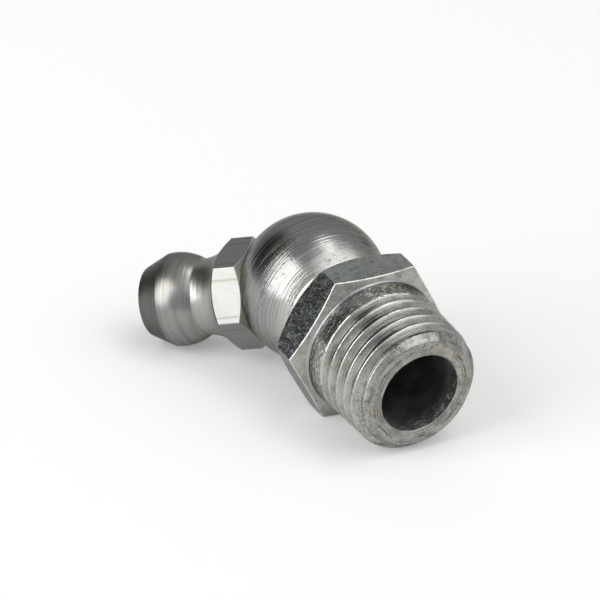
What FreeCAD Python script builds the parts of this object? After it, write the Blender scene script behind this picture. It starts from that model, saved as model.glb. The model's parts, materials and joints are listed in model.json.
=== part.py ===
import FreeCAD, Part
import math
import os

os.makedirs("parts", exist_ok=True)

# A 45 degree angled grease nipple: a turned elbow with a taper thread, and a straight nipple with a spring
# loaded ball valve, set into the elbow's ball. Sizes are in millimetres and angles in degrees. A reach is
# a distance from the centre of the elbow's ball, along the thread's axis or along the head's.

# Elbow: ball, neck and hexagon
elbow_angle = 45.0
ball_radius = 5.37
neck_radius = 4.0
neck_fillet = 0.4
hex_across_flats = 11.0
hex_front_reach = 7.86
hex_corner_length = 1.85
hex_front_slope = 18.0
hex_back_slope = 35.0
collar_fillet = 0.2

# Elbow: taper thread, its end and the bore
thread_reach = 15.05
gauge_radius = 5.0
gauge_reach = 10.1
taper = 1.0 / 16.0
thread_pitch = 1.0
thread_angle = 60.0
crest_flat = 0.14
root_flat = 0.17
first_groove_reach = 10.35
first_groove_turn = -70.0
runout_turns = 0.6
runout_overlap = 0.02
end_chamfer_length = 0.9
end_face_radius = 4.08
bore_radius = 3.0
bore_end_reach = 1.3
drill_angle = 118.0

# Nipple head: shank, hexagon, and the coupler end that the grease gun grips
seat_reach = 4.08
shank_radius = 2.98
shank_length = 3.2
shank_chamfer = 0.4
shank_clearance = 0.02
tapped_hole_end = 0.3
head_hex_across_flats = 7.0
head_hex_length = 2.34
head_hex_chamfer = 0.35
head_hex_slope = 30.0
head_hex_turn = 47.0
flare_radius = 3.4
groove_radius = 2.76
groove_reach = 8.49
bulge_radius = 3.4
bulge_reach = 10.54
cone_edge_reach = 10.98
face_radius = 2.55
face_reach = 12.75

# Valve inside the head: inlet, conical seat, ball, spring and the staked lip that holds the spring
inlet_radius = 0.9
inlet_length = 0.45
valve_seat_angle = 30.0
valve_ball_radius = 1.25
valve_ball_clearance = 0.1
valve_gap = 0.02
wire_radius = 0.15
coil_clearance = 0.08
coil_turns = 8.0
lip_radius = 0.75
lip_length = 0.35

# The flat of the large hexagon that lies down, counted round the thread from the side that the head leans to
rest_flat = 60.0

# Sizes that follow from these
hex_corner_radius = hex_across_flats / math.sqrt(3.0)
head_corner_radius = head_hex_across_flats / math.sqrt(3.0)
chamber_radius = valve_ball_radius + valve_ball_clearance
shank_end = seat_reach - shank_length
bar_allowance = 0.3
clear_of_all = 40.0


def rise(degrees):
    """Rise of a cone for each millimetre of run, at an angle from the run."""
    return math.tan(math.radians(degrees))


def thread_radius(reach):
    """Crest radius of the taper thread at a distance from the ball's centre."""
    return gauge_radius - (reach - gauge_reach) * taper / 2


def at(radius, height):
    """Point of a turned outline."""
    return FreeCAD.Vector(radius, 0, height)


def lines(points):
    """Straight edges from each point to the next."""
    return [Part.LineSegment(a, b).toShape() for a, b in zip(points, points[1:])]


def turned(edges):
    """Solid turned about Z from the edges of half its section."""
    return Part.Face(Part.Wire(edges)).revolve(FreeCAD.Vector(), FreeCAD.Vector(0, 0, 1), 360)


def hex_bar(across_flats, turn):
    """Long hexagonal bar along Z, with its first corner turned by an angle from X."""
    radius = across_flats / math.sqrt(3.0)
    angles = [math.radians(turn + 60 * side) for side in range(7)]
    corners = [FreeCAD.Vector(radius * math.cos(a), radius * math.sin(a), -clear_of_all) for a in angles]
    return Part.Face(Part.makePolygon(corners)).extrude(FreeCAD.Vector(0, 0, 2 * clear_of_all))


def matrix_of(x_axis, y_axis, z_axis):
    """Matrix that carries X, Y and Z onto three directions."""
    return FreeCAD.Matrix(x_axis.x, y_axis.x, z_axis.x, 0,
                          x_axis.y, y_axis.y, z_axis.y, 0,
                          x_axis.z, y_axis.z, z_axis.z, 0,
                          0, 0, 0, 1)


def head_axis():
    """The head leans back from the thread's axis, away from the thread and towards X."""
    lean = math.radians(elbow_angle)
    return FreeCAD.Vector(math.sin(lean), 0, -math.cos(lean))


def on_head_axis(solid):
    """Carries a solid that was made along Z onto the head's axis."""
    first = FreeCAD.Vector(0, 1, 0)
    return solid.transformed(matrix_of(first, head_axis().cross(first), head_axis()), True)


def collar_reach():
    """Where the hexagon's front cone meets the tapered shank, from the two straight outlines."""
    corner_gap = hex_corner_radius - thread_radius(hex_front_reach)
    front = rise(hex_front_slope)
    return hex_front_reach + front * corner_gap / (1 - front * taper / 2)


def rounded(solid, radius, height, fillet):
    """The solid with a fillet along the circle of one radius at one height."""
    near = 1e-4
    rings = [edge for edge in solid.Edges
             if edge.BoundBox.ZLength < near and abs(edge.BoundBox.ZMin - height) < near
             and abs(edge.BoundBox.XMax - radius) < near]
    return solid.makeFillet(fillet, rings)


def elbow_blank():
    """The elbow as turned from bar: ball, neck, chamfered hexagon, plain collar and tapered shank."""
    hex_back_reach = hex_front_reach - hex_corner_length
    bar_radius = hex_corner_radius + bar_allowance
    ball_end = math.sqrt(ball_radius ** 2 - neck_radius ** 2)
    neck_end = hex_back_reach - rise(hex_back_slope) * (hex_corner_radius - neck_radius)
    chamfer_start = thread_reach - end_chamfer_length
    ball_arc = Part.Arc(at(0, -ball_radius), at(ball_radius, 0), at(neck_radius, ball_end)).toShape()
    corners = [at(neck_radius, ball_end),
               at(neck_radius, neck_end),
               at(bar_radius, hex_back_reach + rise(hex_back_slope) * bar_allowance),
               at(bar_radius, hex_front_reach - rise(hex_front_slope) * bar_allowance),
               at(thread_radius(collar_reach()), collar_reach()),
               at(thread_radius(chamfer_start), chamfer_start),
               at(end_face_radius, thread_reach),
               at(0, thread_reach),
               at(0, -ball_radius)]
    blank = turned([ball_arc] + lines(corners))
    blank = rounded(blank, neck_radius, neck_end, neck_fillet)
    return rounded(blank, thread_radius(collar_reach()), collar_reach(), collar_fillet)


def groove_start():
    """Reach and turn at which the threading tool enters, half a pitch off the end face."""
    reach = thread_reach + thread_pitch / 2
    return reach, first_groove_turn + 360 * (reach - first_groove_reach) / thread_pitch


def groove_sweep(start_reach, start_turn, length, lean):
    """One stretch of V groove on a helix that leans out from the axis as it runs towards the ball.

    Along a leaning helix the pitch and the length are measured on the slope of its cone.
    """
    start_radius = thread_radius(start_reach)
    flank = rise(thread_angle / 2)
    root_radius = start_radius - (thread_pitch - crest_flat - root_flat) / 2 / flank
    flank_end = start_radius + crest_flat / 4
    half_gap = (thread_pitch - crest_flat) / 2 + flank * (flank_end - start_radius)
    clear_radius = start_radius + thread_pitch / 2
    slope = 1 / math.cos(math.radians(lean))
    path = Part.makeHelix(thread_pitch * slope, length * slope, start_radius, lean)
    section = Part.Wire(lines([at(root_radius, -root_flat / 2),
                               at(flank_end, -half_gap),
                               at(clear_radius, -half_gap),
                               at(clear_radius, half_gap),
                               at(flank_end, half_gap),
                               at(root_radius, root_flat / 2),
                               at(root_radius, -root_flat / 2)]))
    groove = Part.Wire(path).makePipeShell([section], True, True)
    groove.rotate(FreeCAD.Vector(), FreeCAD.Vector(1, 0, 0), 180)
    groove.translate(FreeCAD.Vector(0, 0, start_reach))
    groove.rotate(FreeCAD.Vector(), FreeCAD.Vector(0, 0, 1), start_turn)
    return groove


def thread_groove():
    """The right-hand V groove, cut along the taper from the end face to the plain collar."""
    start_reach, start_turn = groove_start()
    length = start_reach - first_groove_reach + runout_overlap * thread_pitch
    return groove_sweep(start_reach, start_turn, length, math.degrees(math.atan(taper / 2)))


def thread_runout():
    """The groove's end, where the tool is drawn back until it leaves the collar."""
    depth = (thread_pitch - crest_flat - root_flat) / 2 / rise(thread_angle / 2)
    length = runout_turns * thread_pitch
    lean = math.degrees(math.atan(taper / 2 + depth / length))
    return groove_sweep(first_groove_reach, first_groove_turn, length, lean)


def bore():
    """The grease way: a hole drilled from the end face into the ball, down to the drill's point."""
    point = bore_end_reach - bore_radius / rise(drill_angle / 2)
    mouth = thread_reach + bar_allowance
    return turned(lines([at(0, point), at(bore_radius, bore_end_reach), at(bore_radius, mouth), at(0, mouth),
                         at(0, point)]))


def head_seat():
    """What is taken off the ball for the head: a flat spot face, and the hole that takes the shank."""
    off = FreeCAD.Vector(0, 0, seat_reach)
    spot_face = Part.makeCylinder(ball_radius, ball_radius, off)
    hole_radius = shank_radius + shank_clearance
    hole = Part.makeCylinder(hole_radius, ball_radius, FreeCAD.Vector(0, 0, tapped_hole_end))
    return on_head_axis(spot_face.fuse(hole))


def elbow_body():
    """The elbow: blank, hexagon flats, bore, seat for the head, and thread."""
    blank = elbow_blank()
    blank.rotate(FreeCAD.Vector(), FreeCAD.Vector(0, 0, 1), groove_start()[1] + 135)
    flat_under_head = 30
    body = blank.common(hex_bar(hex_across_flats, flat_under_head))
    body = body.cut(bore()).cut(head_seat()).cut(thread_groove()).cut(thread_runout())
    return body.Solids[0] if len(body.Solids) == 1 else body


def arc_radius_of(run, step):
    """Radius of an arc that starts level and rises by a step over a run."""
    return (run ** 2 + step ** 2) / (2 * step)


def flare_arc():
    """The flare: one hollow arc from the small hexagon, level where it reaches the groove.

    The chord of an arc that starts level leans by half of the arc's angle.
    """
    hex_end = seat_reach + head_hex_length
    run = groove_reach - hex_end
    step = flare_radius - groove_radius
    arc_radius = arc_radius_of(run, step)
    half_angle = math.atan2(step, run)
    middle = at(groove_radius + arc_radius * (1 - math.cos(half_angle)),
                groove_reach - arc_radius * math.sin(half_angle))
    return Part.Arc(at(flare_radius, hex_end), middle, at(groove_radius, groove_reach)).toShape()


def bulge_arc():
    """The coupler bulge: one arc from the groove, widest at the bulge, up to the edge of the front cone."""
    arc_radius = arc_radius_of(bulge_reach - groove_reach, bulge_radius - groove_radius)
    past = cone_edge_reach - bulge_reach
    edge_radius = bulge_radius - arc_radius + math.sqrt(arc_radius ** 2 - past ** 2)
    widest = at(bulge_radius, bulge_reach)
    arc = Part.Arc(at(groove_radius, groove_reach), widest, at(edge_radius, cone_edge_reach))
    return arc.toShape(), edge_radius


def valve_seat_top():
    """Reach at which the conical valve seat ends in the inlet hole."""
    return face_reach - inlet_length


def valve_ball_reach():
    """Where the valve's ball stands: in the conical seat, a hair off it."""
    seat_angle = math.radians(valve_seat_angle)
    apex = valve_seat_top() + inlet_radius / math.tan(seat_angle)
    return apex - (valve_ball_radius + valve_gap) / math.sin(seat_angle)


def nipple_head():
    """The straight nipple: shank, small hexagon, flare, groove, bulge, front cone and valve chamber."""
    hex_end = seat_reach + head_hex_length
    cone = rise(head_hex_slope)
    end_radius = head_corner_radius - head_hex_chamfer / cone
    bar_radius = head_corner_radius + bar_allowance
    corner_step = head_hex_chamfer + cone * bar_allowance
    bulge, edge_radius = bulge_arc()
    back = [at(lip_radius, shank_end),
            at(shank_radius - shank_chamfer, shank_end),
            at(shank_radius, shank_end + shank_chamfer),
            at(shank_radius, seat_reach),
            at(end_radius, seat_reach),
            at(bar_radius, seat_reach + corner_step),
            at(bar_radius, hex_end - corner_step),
            at(end_radius, hex_end),
            at(flare_radius, hex_end)]
    chamber_end = valve_seat_top() - (chamber_radius - inlet_radius) / rise(valve_seat_angle)
    front = [at(edge_radius, cone_edge_reach),
             at(face_radius, face_reach),
             at(inlet_radius, face_reach),
             at(inlet_radius, valve_seat_top()),
             at(chamber_radius, chamber_end),
             at(chamber_radius, shank_end + lip_length),
             at(lip_radius, shank_end + lip_length),
             at(lip_radius, shank_end)]
    head = turned(lines(back) + [flare_arc(), bulge] + lines(front))
    return on_head_axis(head.common(hex_bar(head_hex_across_flats, head_hex_turn)).Solids[0])


def check_ball():
    """The steel ball that closes the inlet."""
    ball = Part.makeSphere(valve_ball_radius)
    ball.translate(FreeCAD.Vector(0, 0, valve_ball_reach()))
    return on_head_axis(ball)


def valve_spring():
    """The coil spring between the staked lip and the ball."""
    coil_radius = chamber_radius - coil_clearance - wire_radius
    to_ball = valve_ball_radius + wire_radius + valve_gap
    top = valve_ball_reach() - math.sqrt(to_ball ** 2 - coil_radius ** 2)
    foot = shank_end + lip_length + wire_radius + valve_gap
    path = Part.makeHelix((top - foot) / coil_turns, top - foot, coil_radius)
    wire = Part.makeCircle(wire_radius, at(coil_radius, 0), FreeCAD.Vector(0, 1, 0))
    spring = Part.Wire(path).makePipeShell([Part.Wire(wire)], True, True)
    spring.translate(FreeCAD.Vector(0, 0, foot))
    return on_head_axis(spring)


def down_direction():
    """Straight down, in the thread's frame, for a part that lies on one flat's front edge and on its head.

    The tilt is halved towards the one at which the hexagon and the head reach equally far down.
    """
    flat_reach = hex_front_reach + rise(hex_front_slope) * (hex_corner_radius - hex_across_flats / 2)
    head_radius = bulge_arc()[1]
    side = math.radians(rest_flat)
    low, high = -math.pi / 4, math.pi / 4
    for halving in range(60):
        tilt = (low + high) / 2
        level = math.cos(tilt)
        down = FreeCAD.Vector(math.cos(side) * level, math.sin(side) * level, math.sin(tilt))
        hex_depth = level * hex_across_flats / 2 + math.sin(tilt) * flat_reach
        along = down.dot(head_axis())
        head_depth = along * cone_edge_reach + head_radius * math.sqrt(1 - along ** 2)
        if hex_depth > head_depth:
            high = tilt
        else:
            low = tilt
    return down


def resting_frame():
    """Matrix from the thread's frame to the table's: Z up, and the thread pointing towards -Y."""
    up = down_direction() * -1
    thread = FreeCAD.Vector(0, 0, 1)
    back = (up * thread.dot(up) - thread).normalize()
    return matrix_of(back.cross(up), back, up).inverse()


def whole_box(solids):
    """Close box round several solids."""
    return Part.makeCompound(solids).optimalBoundingBox(False, False)


nodes = {"elbow_body": elbow_body(),
         "nipple_head": nipple_head(),
         "check_ball": check_ball(),
         "valve_spring": valve_spring()}
turn = resting_frame()
nodes = {name: solid.transformed(turn, True) for name, solid in nodes.items()}
box = whole_box(list(nodes.values()))
to_origin = FreeCAD.Vector(-box.Center.x, -box.Center.y, -box.ZMin)
for name, solid in nodes.items():
    solid.translate(to_origin)
    solid.exportStep("parts/" + name + ".step")
    print(name, solid.ShapeType, "volume", round(solid.Volume, 3), "valid", solid.isValid())

print("size", round(box.XLength, 3), round(box.YLength, 3), round(box.ZLength, 3))
for name, local in {"ball centre": FreeCAD.Vector(),
                    "thread axis": FreeCAD.Vector(0, 0, 1),
                    "head axis": head_axis(),
                    "side of the lean": FreeCAD.Vector(1, 0, 0)}.items():
    place = turn.multVec(local)
    place = place + to_origin if name == "ball centre" else place
    print(name, [round(value, 6) for value in place])
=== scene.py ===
# %% [markdown]
# An angled grease nipple on a pale table
#
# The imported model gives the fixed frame: four solids in metres, with the fitting lying on one flat of its
# big hexagon and on the edge of its nipple head. The solids have the right form, but their meshes are
# coarse, so all but the valve's ball are made again here as fine grids of the same form. Everything is
# placed from the record's mounts, so the frame's places are written down only once.

# %% Load the frame
import json
import math

import bpy
import bmesh
import numpy as np
from mathutils import Matrix


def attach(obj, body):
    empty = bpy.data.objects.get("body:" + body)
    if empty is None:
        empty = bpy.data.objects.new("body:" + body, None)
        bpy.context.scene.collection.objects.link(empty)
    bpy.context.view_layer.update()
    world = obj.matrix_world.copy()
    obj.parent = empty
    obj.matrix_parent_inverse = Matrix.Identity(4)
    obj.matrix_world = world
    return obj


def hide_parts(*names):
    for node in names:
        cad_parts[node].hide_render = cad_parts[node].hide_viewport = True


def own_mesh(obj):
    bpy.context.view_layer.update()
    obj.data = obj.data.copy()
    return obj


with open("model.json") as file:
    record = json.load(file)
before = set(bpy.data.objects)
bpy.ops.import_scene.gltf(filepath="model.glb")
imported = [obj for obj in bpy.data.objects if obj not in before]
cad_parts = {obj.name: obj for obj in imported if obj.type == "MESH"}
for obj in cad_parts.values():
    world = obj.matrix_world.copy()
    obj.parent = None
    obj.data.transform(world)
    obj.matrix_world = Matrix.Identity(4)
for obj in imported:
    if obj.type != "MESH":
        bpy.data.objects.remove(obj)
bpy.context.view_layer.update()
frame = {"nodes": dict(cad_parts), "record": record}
print("nodes:", sorted(frame["nodes"]))

# %% [markdown]
# The fitting's own axes
#
# A turned part is easiest to work out about its own axis. The elbow is turned about the thread's axis,
# and the head about an axis that leans 45 degrees back from it. Both pass through the centre of the ball.
# The record states a mount on each axis at a known reach from that centre, which is all that is needed to
# find the centre and three directions: along the thread, towards the side where the head leans, and
# across.

# %% Axes from the mounts
MM = 0.001
THREAD_MOUNT_REACH = 12.25
mounts = {mount["name"]: mount for mount in frame["record"]["mounts"]}


def unit(vector):
    """The direction of a vector."""
    return vector / np.linalg.norm(vector)


thread_axis = unit(np.array(mounts["thread"]["axis"], dtype=float))
head_axis = unit(np.array(mounts["coupler_end"]["axis"], dtype=float))
ball_centre = np.array(mounts["thread"]["pos_m"], dtype=float) - thread_axis * THREAD_MOUNT_REACH * MM
lean_side = unit(head_axis - thread_axis * head_axis.dot(thread_axis))
across = np.cross(thread_axis, lean_side)
head_up = np.cross(head_axis, across)
ELBOW_AXES = np.array([lean_side, across, thread_axis])
HEAD_AXES = np.array([across, head_up, head_axis])
print("ball centre, mm:", np.round(ball_centre / MM, 3))

# %% [markdown]
# Grids that close
#
# Each turned piece is one grid: columns go round the axis and rows go along the outline. A hexagon only
# makes the outline's corners depend on the column. Two things need care. The first and last column stand
# at the same place, and so may rows that are squeezed together, so points that coincide are joined and
# faces that lose a corner are dropped. And an edge with no radius at all never catches the light as a
# real one does, so each corner of an outline is rounded with a few rows.

# %% Grid helpers
JOINING_DISTANCE = 2e-5
GUARD = 0.02


def sector_angles(corner, columns):
    """Angles round a hexagonal bar, crowded towards its six corners.

    Within a sector the angle is 60 (u - a sin(2 pi u) / (2 pi)) for u from 0 to 1, so columns are 1 - a
    times the even spacing at the corners.
    """
    crowding = 0.86
    u = np.arange(columns) / columns
    sector = 60.0 * (u - crowding * np.sin(2 * np.pi * u) / (2 * np.pi))
    angles = (corner + 60.0 * np.arange(6)[:, None] + sector).ravel()
    return np.radians(np.append(angles, corner + 360.0))


def hexagon(angles, across_flats, corner, rounding):
    """Distance from the axis to a hexagonal bar at each angle, with rounded corners.

    From the nearest flat it is half the width across flats over the cosine of the angle off that flat.
    Each corner is cut back by a soft minimum with the neighbouring flat.
    """
    turn = np.degrees(angles) - corner
    off = np.radians((turn % 60.0) - 30.0)
    near = across_flats / 2 / np.cos(off)
    other = across_flats / 2 / np.cos(np.radians(60.0) - np.abs(off))
    gap = np.clip(1 - (other - near) / rounding, 0, 1)
    return near - gap ** 2 * rounding / 4


def rounded_outline(corners, radii, columns, steps=4):
    """Rows along an outline with rounded corners.

    corners are pairs of reach and radius, each a number or an array over the columns. Each corner with a
    radius r that turns by an angle a is replaced by a parabola between the points r tan(a / 2) before and
    after it, or less where the neighbouring edges are short. A guard row stands just outside each end of
    it, which keeps the long faces next to it flat in the shading. A corner without a radius stays one
    row.
    """
    points = np.array([[np.broadcast_to(value, columns) for value in corner] for corner in corners])
    rows = [points[0]]
    t = np.linspace(0, 1, steps + 1)[:, None, None]
    for before, here, after, radius in zip(points, points[1:], points[2:], radii[1:]):
        if radius == 0:
            rows.append(here)
            continue
        back, ahead = before - here, after - here
        back_length = np.linalg.norm(back, axis=0)
        ahead_length = np.linalg.norm(ahead, axis=0)
        cosine = np.clip((back * ahead).sum(0) / (back_length * ahead_length), -1, 1)
        turn = np.pi - np.arccos(cosine)
        cut = np.minimum(radius * np.tan(turn / 2), 0.4 * np.minimum(back_length, ahead_length))
        guard_back = np.minimum(cut + GUARD, 0.45 * back_length)
        guard_ahead = np.minimum(cut + GUARD, 0.45 * ahead_length)
        start = here + back / back_length * cut
        end = here + ahead / ahead_length * cut
        rows.append(here + back / back_length * guard_back)
        rows.extend((1 - t) ** 2 * start + 2 * t * (1 - t) * here + t ** 2 * end)
        rows.append(here + ahead / ahead_length * guard_ahead)
    rows.append(points[-1])
    return np.array(rows)


def about_axis(rows, angles, axes):
    """Points of a turned surface: reach along the third axis and radius along the first two."""
    reach, radius = rows[:, 0], rows[:, 1]
    local = np.stack([radius * np.cos(angles), radius * np.sin(angles), reach], axis=-1)
    return local @ axes


def grid_mesh(name, grid):
    """A mesh object from a grid of points in millimetres about the ball's centre.

    Neighbouring rows and columns make quads. Coinciding points become one, and faces keep only their
    separate corners.
    """
    rows, columns = grid.shape[:2]
    points = grid.reshape(-1, 3)
    keys = np.round(points / JOINING_DISTANCE).astype(np.int64)
    first, joined = np.unique(keys, axis=0, return_index=True, return_inverse=True)[1:]
    joined = joined.reshape(rows, columns)
    quad_corners = [joined[:-1, :-1], joined[:-1, 1:], joined[1:, 1:], joined[1:, :-1]]
    quads = np.stack(quad_corners, axis=-1).reshape(-1, 4)
    repeated = quads == np.roll(quads, 1, axis=1)
    whole = quads[~repeated.any(1)]
    parted = quads[repeated.sum(1) == 1]
    kept = ~repeated[repeated.sum(1) == 1]
    triangles = parted[kept].reshape(-1, 3)
    mesh = bpy.data.meshes.new(name)
    faces = whole.tolist() + triangles.tolist()
    mesh.from_pydata((ball_centre + points[first] * MM).tolist(), [], faces)
    mesh.validate()
    mesh.shade_smooth()
    piece = bpy.data.objects.new(name, mesh)
    bpy.context.scene.collection.objects.link(piece)
    return piece


def outward(piece):
    """Turns every face of a closed piece outwards, and says whether the piece is closed."""
    work = bmesh.new()
    work.from_mesh(piece.data)
    bmesh.ops.recalc_face_normals(work, faces=work.faces)
    volume = work.calc_volume(signed=True)
    if volume < 0:
        bmesh.ops.reverse_faces(work, faces=work.faces)
    open_edges = sum(1 for edge in work.edges if not edge.is_manifold)
    work.to_mesh(piece.data)
    work.free()
    triangles = sum(len(face.vertices) - 2 for face in piece.data.polygons)
    print(piece.name, "triangles", triangles, "open edges", open_edges, "mm3", round(abs(volume) * 1e9, 2))


# %% [markdown]
# The elbow's outline
#
# The elbow was turned from hexagonal bar: a ball, a short neck, a hexagon whose two ends were chamfered
# in the lathe, a plain collar and a taper shank. On each side the chamfer is a cone, so the flats end in
# curves. In every column the flat simply starts and stops where the cones are as wide as the bar is in
# that direction.

# %% Elbow sizes
BALL_RADIUS = 5.37
NECK_RADIUS = 4.0
HEX_WIDTH = 11.0
HEX_TURN = 30.0
HEX_ROUNDING = 0.05
HEX_CORNER = HEX_WIDTH / math.sqrt(3)
HEX_FRONT_REACH = 7.86
HEX_CORNER_LENGTH = 1.85
FRONT_RISE = math.tan(math.radians(18))
BACK_RISE = math.tan(math.radians(35))
THREAD_REACH = 15.05
GAUGE_RADIUS = 5.0
GAUGE_REACH = 10.1
TAPER = 1 / 16
BORE_RADIUS = 3.0
BORE_END_REACH = 1.3
DRILL_POINT_ANGLE = 59
DRILL_POINT_REACH = BORE_END_REACH - BORE_RADIUS / math.tan(math.radians(DRILL_POINT_ANGLE))
END_FACE_RADIUS = 4.08
SEAT_REACH = 4.08
HEAD_HOLE_RADIUS = 3.0
HEAD_HOLE_REACHES = (0.3, 4.6)
GROOVE_ZONE_REACH = 9.4
elbow_angles = sector_angles(HEX_TURN, 44)
elbow_columns = elbow_angles.size
print("columns", elbow_columns)


def crest_radius(reach):
    """Radius of the taper at a distance from the ball's centre."""
    return GAUGE_RADIUS - (reach - GAUGE_REACH) * TAPER / 2


# %% Hexagon, neck and collar rows
bar = hexagon(elbow_angles, HEX_WIDTH, HEX_TURN, HEX_ROUNDING)
hex_back = HEX_FRONT_REACH - HEX_CORNER_LENGTH - BACK_RISE * (HEX_CORNER - bar)
hex_front = HEX_FRONT_REACH + FRONT_RISE * (HEX_CORNER - bar)
ball_end = math.sqrt(BALL_RADIUS ** 2 - NECK_RADIUS ** 2)
neck_end = HEX_FRONT_REACH - HEX_CORNER_LENGTH - BACK_RISE * (HEX_CORNER - NECK_RADIUS)
collar_gap = HEX_CORNER - crest_radius(HEX_FRONT_REACH)
collar_reach = HEX_FRONT_REACH + FRONT_RISE * collar_gap / (1 - FRONT_RISE * TAPER / 2)
body_rows = rounded_outline([(ball_end, NECK_RADIUS),
                             (neck_end, NECK_RADIUS),
                             (hex_back, bar),
                             (hex_front, bar),
                             (collar_reach, crest_radius(collar_reach)),
                             (GROOVE_ZONE_REACH, crest_radius(GROOVE_ZONE_REACH))],
                            [0, 0.4, 0.08, 0.09, 0.2, 0], elbow_columns)
print("body rows", len(body_rows))

# %% [markdown]
# The taper thread
#
# The thread is a right-hand V groove of 1 mm pitch. If rows kept to one reach each, they would cross the
# crests at a slant and turn them into beads. So the rows climb with the thread, one pitch a turn, and are
# held between the collar and the end, where they squeeze together. Each row then lies on the same spot of
# the groove's section all the way round, and the rows crowd at the four corners of that section.

# %% Thread surface
PITCH = 1.0
CREST_FLAT = 0.14
ROOT_FLAT = 0.17
FLANK = math.tan(math.radians(30))
FIRST_GROOVE_REACH = 10.35
FIRST_GROOVE_TURN = -70.0
RUNOUT_TURNS = 0.6
CHAMFER_LENGTH = 0.9
GROOVE_DEPTH = (PITCH - CREST_FLAT - ROOT_FLAT) / 2 / FLANK
CREST_ROUNDING = 0.22
END_EDGE_LENGTH = 0.18
LAST_GROOVE_REACH = THREAD_REACH - END_EDGE_LENGTH
CREST_LIFT = 0.012
CHAMFER_ROUNDING = 0.03


def soft_min(a, b, width):
    """The smaller of two values, with a parabola of the given width where they cross."""
    blend = np.clip(1 - np.abs(a - b) / width, 0, 1)
    return np.minimum(a, b) - blend ** 2 * width / 4


def thread_surface(reach, angles):
    """Radius of the threaded taper.

    The groove's middle lies at the first groove's reach plus one pitch for each turn. Beside it the
    radius is the root's plus the distance past the root flat over the tangent of 30 degrees. Before the
    first full turn the tool is drawn back in step with the turn. What is left is the smallest of taper,
    groove and end chamfer.
    """
    turn = (np.degrees(angles) - FIRST_GROOVE_TURN) / 360.0
    nearest = np.round((reach - FIRST_GROOVE_REACH) / PITCH - turn)
    radius = crest_radius(reach)
    for neighbour in (-1, 0, 1):
        along = turn + nearest + neighbour
        middle = FIRST_GROOVE_REACH + PITCH * along
        drawn_back = np.clip(-along / RUNOUT_TURNS, 0, 2) * GROOVE_DEPTH
        root = crest_radius(middle) - GROOVE_DEPTH + drawn_back
        flank = (np.abs(reach - middle) - ROOT_FLAT / 2) / FLANK
        radius = soft_min(radius, root + np.maximum(flank, 0) + CREST_LIFT, CREST_ROUNDING)
    slope = (crest_radius(THREAD_REACH - CHAMFER_LENGTH) - END_FACE_RADIUS) / CHAMFER_LENGTH
    chamfer = END_FACE_RADIUS + (THREAD_REACH - reach) * slope
    return soft_min(radius, chamfer, CHAMFER_ROUNDING)


def thread_rows(angles):
    """Rows that climb with the thread from the collar to the end face.

    Fractions of a pitch count from a crest's middle, and crowd at the corners of the crest and of the
    root.
    """
    crest = CREST_FLAT / 2
    root = (PITCH - ROOT_FLAT) / 2
    near = np.array([-0.04, -0.02, 0.0, 0.02, 0.04])
    beyond = np.array([0.07, 0.1, 0.13])
    half = np.concatenate([[0.0], crest + near, crest + beyond, [0.28], root + near])
    fractions = np.concatenate([half, [0.5], 1 - half[:0:-1]]) + 0.5
    turns = np.arange(-7, 7)
    starts = FIRST_GROOVE_REACH - FIRST_GROOVE_TURN / 360.0 * PITCH
    reach = (turns[:, None] + fractions * PITCH).ravel()[:, None] + starts
    reach = np.clip(reach + PITCH * angles / (2 * np.pi), GROOVE_ZONE_REACH, LAST_GROOVE_REACH)
    moving = np.ptp(reach, axis=1) > 1e-9
    reach = reach[moving]
    return np.stack([reach, thread_surface(reach, angles)], axis=1)


helix_rows = thread_rows(elbow_angles)
print("thread rows", len(helix_rows))

# %% [markdown]
# Ball, spot face and bore
#
# The ball is what is left between two circles: the neck's, about the thread's axis, and the spot face's,
# about the head's axis. Its rows are great circle arcs from one to the other, so both edges are clean.
# The bore comes back inside from the end face to the drill's point. The hole that takes the head's shank
# is bored last, with a Boolean, because it breaks into the bore on a slant that no grid follows.

# %% Ball arcs
BALL_ROWS = 64
SEAT_RINGS = np.array([0, 0.5, 0.985])


def ball_arcs(rows):
    """Points on the ball along the shortest arcs from the spot face's circle to the neck's circle.

    With A and B the unit vectors to the ends of an arc and w the angle between them, the point at share t
    is (A sin((1 - t) w) + B sin(t w)) / sin(w), times the ball's radius.
    """
    seat_angle = math.acos(SEAT_REACH / BALL_RADIUS)
    neck_angle = math.asin(NECK_RADIUS / BALL_RADIUS)
    cosine = np.cos(elbow_angles)[:, None]
    sine = np.sin(elbow_angles)[:, None]
    around_head = cosine * head_up + sine * across
    around_neck = cosine * lean_side + sine * across
    seat = math.cos(seat_angle) * head_axis + math.sin(seat_angle) * around_head
    neck = math.cos(neck_angle) * thread_axis + math.sin(neck_angle) * around_neck
    between = np.arccos((seat * neck).sum(1))[:, None]
    share = np.linspace(0, 1, rows)[:, None, None]
    arcs = (seat * np.sin((1 - share) * between) + neck * np.sin(share * between)) / np.sin(between)
    face = seat * BALL_RADIUS - SEAT_REACH * head_axis
    rings = SEAT_RINGS[:, None, None] * face + SEAT_REACH * head_axis
    return np.concatenate([rings, BALL_RADIUS * arcs])


# %% Bore rows
last_radius = thread_surface(LAST_GROOVE_REACH, elbow_angles)
bore_rows = rounded_outline([(LAST_GROOVE_REACH, last_radius),
                             (THREAD_REACH, END_FACE_RADIUS),
                             (THREAD_REACH, BORE_RADIUS),
                             (BORE_END_REACH, BORE_RADIUS),
                             (DRILL_POINT_REACH, 0.0)],
                            [0, 0.2, 0.12, 0.1, 0], elbow_columns)
print("drill point, mm:", round(DRILL_POINT_REACH, 3))

# %% The elbow's mesh
elbow_grid = np.concatenate([ball_arcs(BALL_ROWS)[:-1],
                             about_axis(body_rows, elbow_angles, ELBOW_AXES),
                             about_axis(helix_rows, elbow_angles, ELBOW_AXES),
                             about_axis(bore_rows, elbow_angles, ELBOW_AXES)])
elbow = grid_mesh("elbow", elbow_grid)
outward(elbow)


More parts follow.
